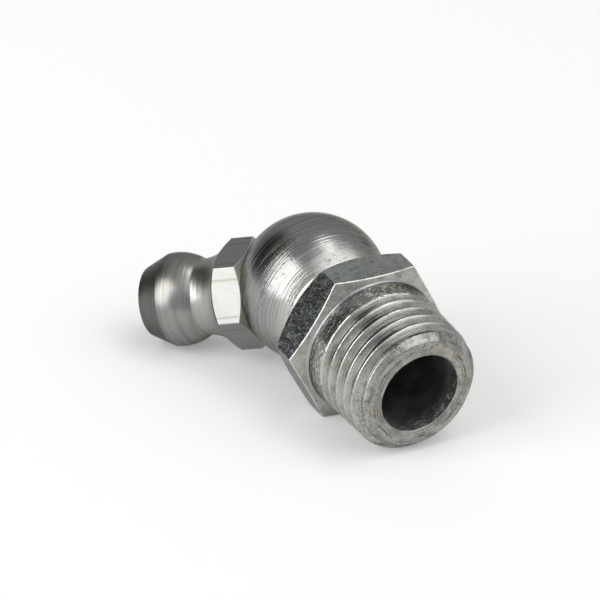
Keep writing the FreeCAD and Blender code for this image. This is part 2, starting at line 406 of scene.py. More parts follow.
# %% Bore the hole for the head's shank
def bored(piece, radius, start, end):
    """Takes a round hole about the head's axis out of a piece, between two reaches."""
    ring = np.linspace(0, 2 * np.pi, 145)
    rows = np.array([[start + 0 * ring, 0 * ring],
                     [start + 0 * ring, radius + 0 * ring],
                     [end + 0 * ring, radius + 0 * ring],
                     [end + 0 * ring, 0 * ring]])
    drill = grid_mesh("drill", about_axis(rows, ring, HEAD_AXES))
    outward(drill)
    cut = piece.modifiers.new("shank hole", "BOOLEAN")
    cut.operation = "DIFFERENCE"
    cut.solver = "EXACT"
    cut.object = drill
    cut_mesh = bpy.data.meshes.new_from_object(piece.evaluated_get(bpy.context.evaluated_depsgraph_get()))
    piece.modifiers.clear()
    piece.data = cut_mesh
    bpy.data.objects.remove(drill)


bored(elbow, HEAD_HOLE_RADIUS, *HEAD_HOLE_REACHES)
outward(elbow)

# %% [markdown]
# The nipple head
#
# The head is a piece of its own, turned from 7 mm hexagonal bar: a shank, the small hexagon with a 30
# degree chamfer at each end, a flare that narrows to the groove, the bulge that the grease gun's jaws
# close behind, and a front cone with the inlet. Its outline runs up the outside and back down through the
# valve's chamber, so the last row meets the first and the grid closes both ways.

# %% Head sizes and outline
SMALL_HEX_WIDTH = 7.0
SMALL_HEX_CORNER = SMALL_HEX_WIDTH / math.sqrt(3)
SMALL_HEX_LENGTH = 2.34
SMALL_HEX_TURN = 47.0
SMALL_CHAMFER_LENGTH = 0.35
CHAMFER_ANGLE = math.radians(30)
CHAMFER_RISE = math.tan(CHAMFER_ANGLE)
SHANK_RADIUS = 2.98
SHANK_CHAMFER = 0.4
SHANK_END = SEAT_REACH - 3.2
LIP_LENGTH = 0.35
LIP_RADIUS = 0.75
LIP_EDGE_RADIUS = 1.6
FLARE_RADIUS = 3.4
GROOVE_RADIUS = 2.76
GROOVE_REACH = 8.49
GROOVE_MARGIN = 0.25
BULGE_RADIUS = 3.4
BULGE_REACH = 10.54
CONE_EDGE_REACH = 10.98
FACE_RADIUS = 2.55
FACE_REACH = 12.75
INLET_RADIUS = 0.9
INLET_LENGTH = 0.45
CHAMBER_RADIUS = 1.35
head_angles = sector_angles(SMALL_HEX_TURN, 24)
small_bar = hexagon(head_angles, SMALL_HEX_WIDTH, SMALL_HEX_TURN, HEX_ROUNDING)
chamfer_foot = SMALL_HEX_CORNER - SMALL_CHAMFER_LENGTH / CHAMFER_RISE
hex_end = SEAT_REACH + SMALL_HEX_LENGTH
corner_gap = CHAMFER_RISE * (SMALL_HEX_CORNER - small_bar)
small_back = SEAT_REACH + SMALL_CHAMFER_LENGTH - corner_gap
small_front = hex_end - SMALL_CHAMFER_LENGTH + corner_gap


def arc_radius(run, step):
    """Radius of an arc that starts level and rises by a step s over a run l: (l l + s s) / (2 s)."""
    return (run ** 2 + step ** 2) / (2 * step)


def flare_rows(last, count):
    """Reach and radius along the flare, one hollow arc that would run level at the groove."""
    arc = arc_radius(GROOVE_REACH - hex_end, FLARE_RADIUS - GROOVE_RADIUS)
    reach = np.linspace(hex_end, last, count)
    return list(zip(reach, GROOVE_RADIUS + arc - np.sqrt(arc ** 2 - (GROOVE_REACH - reach) ** 2)))


def bulge_rows(first, count):
    """Reach and radius along the coupler bulge, one arc from the groove over its widest place."""
    arc = arc_radius(BULGE_REACH - GROOVE_REACH, BULGE_RADIUS - GROOVE_RADIUS)
    reach = np.linspace(first, CONE_EDGE_REACH, count)
    return list(zip(reach, BULGE_RADIUS - arc + np.sqrt(arc ** 2 - (reach - BULGE_REACH) ** 2)))


flare = flare_rows(GROOVE_REACH - GROOVE_MARGIN, 14)
bulge = bulge_rows(GROOVE_REACH + GROOVE_MARGIN, 24)
seat_top = FACE_REACH - INLET_LENGTH
chamber_end = seat_top - (CHAMBER_RADIUS - INLET_RADIUS) / CHAMFER_RISE
head_corners = [(SHANK_END, LIP_EDGE_RADIUS), (SHANK_END, SHANK_RADIUS - SHANK_CHAMFER),
                (SHANK_END + SHANK_CHAMFER, SHANK_RADIUS), (SEAT_REACH, SHANK_RADIUS),
                (SEAT_REACH, chamfer_foot), (small_back, small_bar), (small_front, small_bar),
                (hex_end, chamfer_foot)]
head_corners += flare + [(GROOVE_REACH, GROOVE_RADIUS)] + bulge
head_corners += [(FACE_REACH, FACE_RADIUS), (FACE_REACH, INLET_RADIUS), (seat_top, INLET_RADIUS),
                 (chamber_end, CHAMBER_RADIUS), (SHANK_END + LIP_LENGTH, CHAMBER_RADIUS),
                 (SHANK_END + LIP_LENGTH, LIP_RADIUS), (SHANK_END, LIP_RADIUS),
                 (SHANK_END, LIP_EDGE_RADIUS)]
head_radii = [0, 0.03, 0.03, 0.02, 0.04, 0.05, 0.05, 0.02] + [0] * len(flare)
head_radii += [0.2] + [0] * (len(bulge) - 1) + [0.06, 0.1, 0.08, 0.05, 0.03, 0.05, 0.05, 0.05, 0]
head_rows = rounded_outline(head_corners, head_radii, head_angles.size, steps=3)
head = grid_mesh("head", about_axis(head_rows, head_angles, HEAD_AXES))
outward(head)

# %% [markdown]
# The valve spring
#
# Inside the head a coil spring holds the inlet's ball on its seat. Its grid has rows along the wire and
# columns round it, and shrinks to a point at both ends. The ball is a solid of its own that moves when
# grease is pumped in, and in the real fitting the spring gets shorter with it; here the spring is made at
# one length only. It keeps its foot on the lip that was staked over it.

# %% Valve spring
WIRE_RADIUS = 0.15
COIL_CLEARANCE = 0.08
COIL_RADIUS = CHAMBER_RADIUS - COIL_CLEARANCE - WIRE_RADIUS
COIL_TURNS = 8
RINGS_PER_TURN = 48
VALVE_BALL_RADIUS = 1.25
VALVE_GAP = 0.02
BALL_LIFT = 0.8
seat_distance = (VALVE_BALL_RADIUS + VALVE_GAP) / math.cos(CHAMFER_ANGLE)
valve_ball_reach = seat_top - (seat_distance - INLET_RADIUS) / CHAMFER_RISE
coil_foot = SHANK_END + LIP_LENGTH + VALVE_GAP + WIRE_RADIUS
ball_distance = VALVE_BALL_RADIUS + VALVE_GAP + WIRE_RADIUS
coil_top = valve_ball_reach - math.sqrt(ball_distance ** 2 - COIL_RADIUS ** 2)


def coil_rings(rings, columns):
    """Rings round a wire that climbs about the head's axis.

    With a the angle turned so far, the wire's middle stands at radius R in the direction u = cos a across
    + sin a up, and climbs evenly. The wire runs along du/da R plus its climb for each radian, and a ring
    lies in the plane of u and of the cross product of that with u.
    """
    share = np.concatenate([[0, 0], np.linspace(0, 1, rings), [1, 1]])[:, None]
    size = np.concatenate([[0, 0.9], np.ones(rings), [0.9, 0]])[:, None, None] * WIRE_RADIUS
    turned = 2 * np.pi * COIL_TURNS * share
    out = np.cos(turned) * across + np.sin(turned) * head_up
    onward = (np.cos(turned) * head_up - np.sin(turned) * across) * COIL_RADIUS
    onward = onward + head_axis * (coil_top - coil_foot) / (2 * np.pi * COIL_TURNS)
    beside = np.cross(onward / np.linalg.norm(onward, axis=1)[:, None], out)
    middle = out * COIL_RADIUS + (coil_foot + (coil_top - coil_foot) * share) * head_axis
    ring = np.linspace(0, 2 * np.pi, columns + 1)[None, :, None]
    return middle[:, None] + size * (np.cos(ring) * out[:, None] + np.sin(ring) * beside[:, None])


spring = grid_mesh("spring", coil_rings(RINGS_PER_TURN * COIL_TURNS + 1, 16))
outward(spring)
print("valve ball, coil foot, coil top, mm:", np.round([valve_ball_reach, coil_foot, coil_top], 3))

# %% Attach the new pieces to the fitting and hide the solids they replace
for piece, node in ((elbow, "elbow_body"), (head, "nipple_head"), (spring, "valve_spring")):
    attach(piece, "fitting")
    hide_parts(node)
coil_base = coil_foot - WIRE_RADIUS
coil_anchor = ball_centre + head_axis * coil_base * MM
1 - BALL_LIFT / (coil_top - coil_base)
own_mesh(spring)

# %% Camera
camera_data = bpy.data.cameras.new("camera")
camera = bpy.data.objects.new("camera", camera_data)
bpy.context.scene.collection.objects.link(camera)
bpy.context.scene.camera = camera
camera_data.sensor_width = 36.0
camera_data.lens = 266.55
camera_data.clip_start = 0.01
camera_data.clip_end = 20.0


def aim(azimuth, elevation, roll, distance, target):
    """Stands the camera round the target. Azimuth 0 looks along +Y, and roll turns it about its own view."""
    a, e, r = np.radians([azimuth, elevation, roll])
    back = np.array([math.sin(a) * math.cos(e), -math.cos(a) * math.cos(e), math.sin(e)])
    right = np.array([math.cos(a), math.sin(a), 0.0])
    up = np.cross(back, right)
    turned_right = right * math.cos(r) + up * math.sin(r)
    turned_up = up * math.cos(r) - right * math.sin(r)
    matrix = np.eye(4)
    matrix[:3, :4] = np.stack([turned_right, turned_up, back, target + back * distance], axis=1)
    camera.matrix_world = Matrix(matrix.tolist())


aim(azimuth=-30.13, elevation=26.364, roll=1.6, distance=0.31635,
    target=ball_centre + np.array([-1.009, 0.111, -0.829]) * MM)
bpy.context.scene.view_settings.view_transform = "Standard"

# %% [markdown]
# Shader maths
#
# A finish is easiest to describe as a sum: so many micrometres of tool lines, plus so much grain. Wiring
# Math nodes one at a time hides that, so a small class wraps a socket, and ordinary Python sums on it add
# the nodes.

# %% Wires
class Wire:
    """One output of a node. Sums and products with it add Math nodes."""

    def __init__(self, tree, output=None):
        self.tree = tree
        self.output = output

    def node(self, kind, settings=None, sockets=None, output=0):
        """Adds a node of a kind: first its settings, then the values or links of its sockets."""
        added = self.tree.nodes.new(kind)
        for name, value in (settings or {}).items():
            setattr(added, name, value)
        for name, value in (sockets or {}).items():
            if isinstance(value, Wire):
                self.tree.links.new(value.output, added.inputs[name])
            else:
                added.inputs[name].default_value = value
        return Wire(self.tree, added.outputs[output])

    def maths(self, operation, *others):
        """The result of a Math node whose first value is this one."""
        return self.node("ShaderNodeMath", {"operation": operation}, dict(enumerate((self, *others))))

    def __add__(self, other):
        return self.maths("ADD", other)

    def __mul__(self, other):
        return self.maths("MULTIPLY", other)

    def __sub__(self, other):
        return self.maths("SUBTRACT", other)

    def __truediv__(self, other):
        return self.maths("DIVIDE", other)

    def __rsub__(self, other):
        return self * -1.0 + other

    __radd__ = __add__
    __rmul__ = __mul__

    def vector_maths(self, operation, sockets, output=0):
        """The result of a Vector Math node whose first vector is this one."""
        return self.node("ShaderNodeVectorMath", {"operation": operation}, {0: self, **sockets}, output)

    def dot(self, direction):
        """How far a vector goes along a direction."""
        return self.vector_maths("DOT_PRODUCT", {1: direction}, "Value")

    def ease(self, low, high):
        """A smooth step from 0 at low to 1 at high."""
        return self.node("ShaderNodeMapRange", {"interpolation_type": "SMOOTHSTEP"},
                         {"Value": self, "From Min": low, "From Max": high})

    def blend(self, first, second):
        """A colour that goes from the first to the second as this goes from 0 to 1."""
        return self.node("ShaderNodeMix", {"data_type": "RGBA"}, {0: self, 6: first, 7: second}, 2)

    def vector(self, x, y, z):
        """A vector from three wires."""
        return self.node("ShaderNodeCombineXYZ", {}, {0: x, 1: y, 2: z})

    def noise(self, detail=2.0, roughness=0.5):
        """Smooth noise between 0 and 1 at a place given in wavelengths."""
        return self.node("ShaderNodeTexNoise", {}, {"Vector": self, "Scale": 1.0, "Detail": detail,
                                                    "Roughness": roughness})


# %% [markdown]
# Places on a turned piece
#
# Everything that a lathe leaves on a surface follows its axis: tool lines are circles round it, and
# smears and stains are drawn out along those circles. So each finish works with the distance along the
# axis, the distance from it, and a place that changes slowly round the circle and quickly along the
# outline. Object coordinates are in metres, and are turned into millimetres from the ball's centre first.

# %% Places
MICROMETRE = 1e-6
TYPICAL_RADIUS = 4.5


class Lathe:
    """Places on a piece that was turned about an axis, in millimetres from the ball's centre."""

    def __init__(self, name, axes):
        self.material = bpy.data.materials.new(name)
        self.material.use_nodes = True
        tree = self.material.node_tree
        place = Wire(tree).node("ShaderNodeTexCoord", output="Object")
        from_centre = place.vector_maths("SUBTRACT", {1: ball_centre})
        self.place = from_centre.vector_maths("SCALE", {"Scale": 1 / MM})
        self.side, self.over, self.along = [self.place.dot(axis) for axis in axes]
        self.radius = (self.side * self.side + self.over * self.over).maths("SQRT").maths("MAXIMUM", 0.001)

    def angle(self):
        """Degrees round the axis from the first axis towards the second."""
        return self.over.maths("ARCTAN2", self.side) * (180 / math.pi)

    def drawn_out(self, outline, round_step, outline_step, detail=2.0, roughness=0.5):
        """Noise with one wavelength round the circle and another along the outline, both in millimetres.

        The wavelength round the circle holds at a typical radius, and grows in step with the radius.
        """
        spread = TYPICAL_RADIUS / round_step
        around = self.side / self.radius * spread
        beside = self.over / self.radius * spread
        return self.place.vector(around, beside, outline / outline_step).noise(detail, roughness)

    def grain(self, step, detail=2.0, roughness=0.5):
        """Noise that is the same in every direction, with a wavelength in millimetres."""
        return self.place.vector_maths("SCALE", {"Scale": 1 / step}).noise(detail, roughness)

    def between(self, value, low, high, soft):
        """1 where a value lies between two limits, with soft edges."""
        return value.ease(low - soft, low + soft) * (1 - value.ease(high - soft, high + soft))

    def metal(self, colour, roughness, micrometres):
        """Sets the metal shader from a colour, a roughness and a height in micrometres."""
        shader = self.material.node_tree.nodes["Principled BSDF"]
        shader.inputs["Metallic"].default_value = 1.0
        shader.inputs["Specular Tint"].default_value = DULL_RIM
        bump_sockets = {"Strength": 1.0, "Distance": MICROMETRE, "Height": micrometres}
        bump = self.place.node("ShaderNodeBump", {}, bump_sockets)
        links = self.material.node_tree.links
        links.new(colour.output, shader.inputs["Base Color"])
        links.new(roughness.output, shader.inputs["Roughness"])
        links.new(bump.output, shader.inputs["Normal"])
        return self.material


# %% [markdown]
# Bright zinc on steel
#
# The fitting is plated with bright zinc over machined steel. The plating copies every tool line, and adds
# a faint tint that wanders between blue grey and straw. All finishes start from the same tints, so that
# they read as one plating.

# %% Zinc tints
BLUE_ZINC = (0.292, 0.300, 0.302, 1.0)
STRAW_ZINC = (0.328, 0.322, 0.288, 1.0)
DARK_ZINC = (0.050, 0.050, 0.050, 1.0)
PALE_ZINC = (0.522, 0.526, 0.497, 1.0)
RUST = (0.120, 0.080, 0.043, 1.0)
NECK_HIGHLIGHT = (0.540, 0.537, 0.510, 1.0)
SEAT_ZINC = (0.276, 0.292, 0.299, 1.0)
BLUE_SKIN = (0.400, 0.428, 0.440, 1.0)
GREY_SKIN = (0.410, 0.403, 0.383, 1.0)
EDGE_WEAR_AND_HIGHLIGHT = (0.760, 0.755, 0.730, 1.0)
SPECKLE_ZINC = (0.660, 0.660, 0.630, 1.0)
FILLET_HIGHLIGHT = (0.420, 0.460, 0.490, 1.0)
CREST_HIGHLIGHT = (0.530, 0.530, 0.510, 1.0)
ROOT_SHADE = (0.035, 0.035, 0.032, 1.0)
BROWN_SPECK = (0.080, 0.077, 0.060, 1.0)
DARK_SMOKE = (0.310, 0.315, 0.305, 1.0)
PALE_SMOKE = (0.500, 0.510, 0.500, 1.0)
SCUFFED = (0.700, 0.690, 0.660, 1.0)
DIE_LINE = (0.225, 0.212, 0.172, 1.0)
PAINTED_REFLECTION_STRAW = (0.420, 0.410, 0.330, 1.0)
DARK_POLISH = (0.560, 0.570, 0.580, 1.0)
PALE_POLISH = (0.660, 0.665, 0.670, 1.0)
DARK_WIRE = (0.300, 0.300, 0.310, 1.0)
PALE_WIRE = (0.520, 0.520, 0.510, 1.0)
DULL_RIM = (0.55, 0.55, 0.55, 1.0)


def zinc_tint(lathe, lean=0.0):
    """Zinc that wanders between blue and straw over a few millimetres. A positive lean favours straw."""
    return (lathe.grain(4.0, 3.0) + lean).ease(0.35, 0.68).blend(BLUE_ZINC, STRAW_ZINC)


# %% [markdown]
# The ball
#
# The ball was turned with a pointed tool that was fed along its outline, so it carries fine circles about
# a quarter of a millimetre apart, with finer scratches between. They stretch every highlight across the
# circles. Where plating bridged the lines there are small dark mottles. Towards the neck the colour is
# painted paler, a painted highlight.

# %% Finish of the ball and neck
def ball_finish():
    """Tool lines along the ball's arc, mottles in patches, and a painted highlight that makes the tint paler
    towards the neck.
    """
    lathe = Lathe("zinc, turned ball", ELBOW_AXES)
    arc = (lathe.along / BALL_RADIUS).maths("ARCCOSINE") * BALL_RADIUS
    feed = lathe.drawn_out(arc, 6.0, 0.27, 1.0, 0.6)
    lines = lathe.drawn_out(arc, 3.2, 0.13, 0.6, 0.6)
    scratches = lathe.drawn_out(arc, 1.2, 0.07, 1.0, 0.6)
    grain = lathe.grain(0.13, 1.0)
    mottles = lathe.drawn_out(arc, 0.34, 0.17, 2.0, 0.6)
    patches = lathe.drawn_out(arc, 3.5, 2.2, 2.0)
    dark = mottles.ease(0.54, 0.66) * patches.ease(0.45, 0.62)
    worn = lines.ease(0.52, 0.68)
    neck_highlight = lathe.along.ease(2.2, 3.8)
    colour = (worn * 0.3).blend(zinc_tint(lathe), PALE_ZINC)
    # Painted highlight: the colour is paler towards the neck.
    colour = neck_highlight.blend(colour, NECK_HIGHLIGHT)
    colour = (lines.ease(0.47, 0.33) * 0.15).blend(colour, DARK_ZINC)
    colour = (dark * 0.55).blend(colour, DARK_ZINC)
    roughness = 0.22 + worn * 0.06
    height = feed * 22.0 + lines * 18.0 + scratches * 8.0 + grain * 7.0 - dark * 4.0
    return lathe.metal(colour, roughness, height)


# %% Finish of the spot face
def seat_finish():
    """The flat that was faced on the ball for the head, with close circles about the head's axis."""
    lathe = Lathe("zinc, faced seat", HEAD_AXES)
    circles = lathe.drawn_out(lathe.radius, 5.0, 0.1, 1.0, 0.6)
    cloud = lathe.grain(0.8, 2.0)
    colour = (circles.ease(0.45, 0.3) * 0.4).blend(SEAT_ZINC, DARK_ZINC)
    return lathe.metal(colour, 0.26 + cloud * 0.1, circles * 7.0 + cloud * 5.0)


# %% [markdown]
# The hexagon
#
# The flats are the drawn bar's own skin, never cut. It has a close grain of tiny pits that sparkle when
# the flat itself is dark, and pale specks painted among them add painted glints. The two chamfers were
# faced in the lathe and came out paler and more even.

# %% Finish of the flats
def flats_finish():
    """A close grain of pits and blots over a bluish skin with a few larger stains."""
    lathe = Lathe("zinc, drawn flats", ELBOW_AXES)
    pits = lathe.grain(0.16, 1.5, 0.6)
    blots = lathe.grain(0.42, 2.0, 0.6)
    stains = lathe.grain(1.3, 3.0, 0.6)
    skin = (lathe.grain(3.0, 2.0) - 0.04).ease(0.35, 0.68).blend(BLUE_SKIN, GREY_SKIN)
    colour = (stains.ease(0.46, 0.7) * 0.25).blend(skin, DARK_ZINC)
    # Pale specks are painted glints on the pits.
    colour = (pits.ease(0.56, 0.68) * 0.25).blend(colour, PALE_ZINC)
    colour = (pits.ease(0.48, 0.34) * 0.25).blend(colour, DARK_ZINC)
    colour = (blots.ease(0.47, 0.34) * 0.36).blend(colour, DARK_ZINC)
    roughness = 0.18 + pits.ease(0.5, 0.62) * 0.08 + blots.ease(0.5, 0.66) * 0.1
    height = pits * 26.0 + blots * 30.0 + stains * 6.0
    return lathe.metal(colour, roughness, height)


# %% Finish of the hexagon's chamfers
def chamfer_finish():
    """Faint facing circles under a pale straw cloud, with a fine grain."""
    lathe = Lathe("zinc, faced chamfers", ELBOW_AXES)
    circles = lathe.drawn_out(lathe.radius, 5.0, 0.13, 1.0, 0.6)
    cloud = lathe.grain(1.1, 3.0, 0.6)
    grain = lathe.grain(0.15, 1.5, 0.6)
    stain = lathe.grain(0.5, 3.0, 0.6).ease(0.6, 0.72)
    colour = (cloud.ease(0.36, 0.64) * 0.75).blend(zinc_tint(lathe, 0.06), PALE_ZINC)
    colour = (grain.ease(0.45, 0.3) * 0.4).blend(colour, DARK_ZINC)
    colour = (stain * 0.5).blend(colour, RUST)
    roughness = 0.24 + cloud * 0.12
    height = circles * 12.0 + grain * 17.0 + cloud * 8.0
    return lathe.metal(colour, roughness, height)


# %% Finish of the worn edges
def edge_finish():
    """Edges worn bright and painted paler still as a painted highlight, dull again in short stretches."""
    lathe = Lathe("worn edges with painted highlight", ELBOW_AXES)
    dull = lathe.grain(0.6, 3.0, 0.6).ease(0.48, 0.66)
    # The edges' pale colour is partly wear and partly a painted highlight.
    colour = (dull * 0.7).blend(EDGE_WEAR_AND_HIGHLIGHT, STRAW_ZINC)
    return lathe.metal(colour, 0.3 + dull * 0.1, dull * 3.0)


# %% [markdown]
# Collar and thread
#
# The collar is plain turned steel in which cutting oil and plating left a dark, grainy stain. The fillet
# at its foot is painted pale blue, a painted highlight. On the thread the crests are painted pale, a
# painted highlight, the roots are painted dark, a painted shade, and the flanks have a straw colour on
# one side and a blue one on the other.

# %% Finish of the collar and its fillet
def collar_finish():
    """A grain that is drawn out round the collar, over a stain in patches, with a painted highlight in pale
    blue on the fillet.
    """
    lathe = Lathe("zinc, stained collar", ELBOW_AXES)
    lines = lathe.drawn_out(lathe.along, 5.0, 0.14, 1.0, 0.6)
    speckle = lathe.drawn_out(lathe.along, 0.3, 0.13, 1.2, 0.6)
    stain = lathe.drawn_out(lathe.along, 3.0, 1.4, 2.0)
    fillet = lathe.along.ease(collar_reach + 0.16, collar_reach + 0.08)
    dark = speckle.ease(0.48, 0.58) * (0.1 + stain.ease(0.42, 0.62) * 0.6) * (1 - fillet)
    colour = (dark * 0.8).blend(zinc_tint(lathe, 0.03), DARK_ZINC)
    colour = (speckle.ease(0.49, 0.37) * (1 - fillet)).blend(colour, SPECKLE_ZINC)
    # Painted highlight: the fillet is painted pale blue.
    colour = (fillet * 0.5).blend(colour, FILLET_HIGHLIGHT)
    roughness = 0.22 + speckle * 0.08
    height = lines * 12.0 + speckle * 24.0 * (1 - fillet * 0.8)
    return lathe.metal(colour, roughness, height)


# %% Finish of the thread
def thread_finish():
    """Flanks with lines along the cut, painted shade close to the root, and a painted highlight along the
    crests, broken by nicks.
    """
    lathe = Lathe("zinc, cut thread", ELBOW_AXES)
    depth = lathe.radius + lathe.along * (TAPER / 2) - (GAUGE_RADIUS + GAUGE_REACH * TAPER / 2)
    lines = lathe.drawn_out(lathe.radius, 4.0, 0.12, 1.0, 0.6)
    grain = lathe.grain(0.15, 1.2, 0.6)
    cloud = lathe.drawn_out(lathe.along, 1.8, 0.8, 3.0, 0.6)
    nick = lathe.drawn_out(lathe.along, 0.35, 2.0, 2.0, 0.6).ease(0.54, 0.64)
    straw = lathe.side / lathe.radius * 0.14
    colour = (cloud.ease(0.36, 0.62) * 0.58).blend(zinc_tint(lathe, straw), PALE_ZINC)
    colour = (cloud.ease(0.42, 0.3) * 0.28).blend(colour, DARK_ZINC)
    colour = (grain.ease(0.44, 0.3) * 0.3).blend(colour, DARK_ZINC)
    # Painted shade: the roots are painted dark.
    colour = (depth + cloud * 0.05).ease(-0.50, -0.44).blend(ROOT_SHADE, colour)
    # Painted highlight: the crests are painted pale, except at nicks.
    colour = (depth.ease(-0.11, -0.03) * (1 - nick * 0.8)).blend(colour, CREST_HIGHLIGHT)
    roughness = 0.19 + cloud * 0.1
    height = lines * 18.0 + grain * 10.0 + cloud * 12.0
    return lathe.metal(colour, roughness, height)


# %% [markdown]
# The end
#
# The end face was cut off and lightly dressed: greyish straw with faint rings, and short brown cracks in
# a broken ring where the plating flaked. The chamfer that leads the thread in was formed with a broad
# tool that chattered, so it has streaks across it. The bore is drilled, barely plated and smoky dark.

# %% Finish of the end face and its chamfer
def end_finish():
    """Facing circles, streaks across the chamfer, and broken brown rings."""
    lathe = Lathe("zinc, dressed end", ELBOW_AXES)
    circles = lathe.drawn_out(lathe.radius, 4.0, 0.2, 2.0, 0.6)
    cloud = lathe.drawn_out(lathe.radius, 1.4, 0.7, 3.0, 0.6)
    grain = lathe.grain(0.15, 1.2, 0.6)
    chatter = lathe.drawn_out(lathe.along, 0.19, 0.9, 1.0, 0.5)
    on_chamfer = lathe.radius.ease(4.05, 4.25)
    ring = lathe.radius + lathe.drawn_out(lathe.radius, 1.3, 4.0, 3.0, 0.6) * 0.35
    crumbs = lathe.drawn_out(lathe.radius, 0.3, 0.12, 2.0, 0.7).ease(0.34, 0.52)
    crack = lathe.between(ring, 3.75, 3.86, 0.025) + lathe.between(ring, 3.57, 3.63, 0.02) * 0.8
    broken = lathe.drawn_out(lathe.radius, 1.7, 5.0, 2.0).ease(0.48, 0.54)
    crack = crack * broken * crumbs * lathe.along.ease(THREAD_REACH - 0.06, THREAD_REACH - 0.02)
    colour = (cloud.ease(0.4, 0.66) * 0.35 + on_chamfer * 0.35).blend(zinc_tint(lathe, 0.04), PALE_ZINC)
    specks = lathe.drawn_out(lathe.radius, 0.4, 0.16, 2.0, 0.7).ease(0.56, 0.7)
    colour = (cloud.ease(0.5, 0.32) * (0.32 + on_chamfer * 0.2)).blend(colour, DARK_ZINC)
    colour = (specks * 0.55).blend(colour, BROWN_SPECK)
    colour = (chatter.ease(0.56, 0.7) * on_chamfer * 0.4).blend(colour, PALE_ZINC)
    colour = (chatter.ease(0.44, 0.3) * on_chamfer * 0.3).blend(colour, DARK_ZINC)
    colour = (circles.ease(0.54, 0.68) * 0.4).blend(colour, DARK_ZINC)
    colour = (grain.ease(0.46, 0.3) * 0.45).blend(colour, DARK_ZINC)
    colour = crack.blend(colour, RUST)
    roughness = 0.22 + cloud * 0.12
    height = circles * 12.0 + grain * 14.0 + cloud * 10.0 + chatter * on_chamfer * 15.0 - crack * 14.0
    return lathe.metal(colour, roughness, height)


# %% Finish of the bore
def bore_finish():
    """Smoky drilled steel with a few pale circles, and scuffs at its mouth."""
    lathe = Lathe("drilled bore", ELBOW_AXES)
    circles = lathe.drawn_out(lathe.along, 7.0, 0.25, 2.0, 0.6)
    smoke = lathe.grain(1.6, 3.0, 0.6)
    mouth = lathe.along.ease(THREAD_REACH - 1.9, THREAD_REACH - 0.4)
    scuff = lathe.drawn_out(lathe.along, 0.5, 0.16, 2.0, 0.6).ease(0.56, 0.65) * mouth
    colour = smoke.ease(0.3, 0.7).blend(DARK_SMOKE, PALE_SMOKE)
    colour = (circles.ease(0.6, 0.7) * 0.6).blend(colour, PALE_ZINC)
    colour = scuff.blend(colour, SCUFFED)
    roughness = 0.38 + smoke * 0.14
    height = circles * 15.0 + scuff * 18.0
    return lathe.metal(colour, roughness, height)


# %% [markdown]
# The nipple head
#
# The head came off a fine automatic lathe, so its circles are closer and shallower than the ball's and
# its highlights softer, and its small hexagon is smooth drawn bar with a die line or two along each flat.

# %% Finish of the head
def head_finish():
    """Fine circles about the head's own axis, a painted highlight that makes the flare paler, and painted
    shade on the nose.

    On the nose's flat face the circles follow the radius instead of the reach.
    """
    lathe = Lathe("zinc, turned head", HEAD_AXES)
    on_face = lathe.along.ease(FACE_REACH - 0.03, FACE_REACH - 0.01)
    outline = lathe.along - lathe.radius * on_face
    circles = lathe.drawn_out(outline, 7.0, 0.18, 1.0, 0.6)
    scratches = lathe.drawn_out(outline, 3.5, 0.08, 1.0, 0.6)
    cloud = lathe.drawn_out(lathe.along, 3.5, 1.6, 2.0)
    nose = lathe.along.ease(CONE_EDGE_REACH - 0.02, CONE_EDGE_REACH + 0.06)
    colour = (circles.ease(0.5, 0.7) * 0.18).blend(zinc_tint(lathe, 0.03), PALE_ZINC)
    colour = (circles.ease(0.5, 0.34) * 0.2).blend(colour, DARK_ZINC)
    # Painted highlight: the head is painted paler from the flare back, and a little darker ahead of it.
    on_flare = lathe.along.ease(8.7, 8.2)
    colour = ((1 - on_flare) * 0.13).blend(colour, DARK_ZINC)
    colour = (on_flare * 0.35).blend(colour, PALE_ZINC)
    # Painted shade: the nose is painted dark.
    colour = (nose * 0.55).blend(colour, DARK_ZINC)
    roughness = 0.27 + cloud * 0.08
    height = circles * 14.0 + scratches * 6.0
    return lathe.metal(colour, roughness, height)


# %% Finish of the small flats
def small_flats_finish():
    """Smooth drawn flats with two die lines along each, and a faint grain."""
    lathe = Lathe("zinc, small flats", HEAD_AXES)
    sector = (lathe.angle() - SMALL_HEX_TURN) / 60.0
    off = (sector.maths("FLOORED_MODULO", 1.0) - 0.5) * (math.pi / 3)
    beside = lathe.radius * off.maths("SINE")
    die_lines = lathe.between(beside, 1.0, 1.19, 0.05) + lathe.between(beside, -1.65, -1.49, 0.05)
    grain = lathe.grain(0.16, 1.5, 0.6)
    cloud = lathe.grain(1.4, 2.0)
    colour = (die_lines * 0.7).blend(zinc_tint(lathe, -0.1), DIE_LINE)
    colour = (grain.ease(0.45, 0.3) * 0.12).blend(colour, DARK_ZINC)
    roughness = 0.24 + cloud * 0.1
    height = grain * 5.0 - die_lines * 2.0
    return lathe.metal(colour, roughness, height)


# %% Finish of the small hexagon's rear chamfer
def rear_chamfer_finish():
    """A rough cone next to the seat, painted pale straw as a painted reflection."""
    lathe = Lathe("zinc, rear chamfer", HEAD_AXES)
    cloud = lathe.grain(0.3, 2.0)
    # Painted reflection: the cone is painted pale straw.
    colour = cloud.ease(0.3, 0.7).blend(PAINTED_REFLECTION_STRAW, PALE_ZINC)
    return lathe.metal(colour, 0.45 + cloud * 0.1, cloud * 8.0)


# %% Finish of the valve chamber, ball and spring
def chamber_finish():
    """Dark drilled walls with close circles."""
    lathe = Lathe("drilled chamber", HEAD_AXES)
    circles = lathe.drawn_out(lathe.along, 8.0, 0.1, 3.0, 0.6)
    colour = circles.ease(0.4, 0.7).blend(DARK_ZINC, BLUE_ZINC)
    return lathe.metal(colour, 0.3 + circles * 0.1, circles * 5.0)


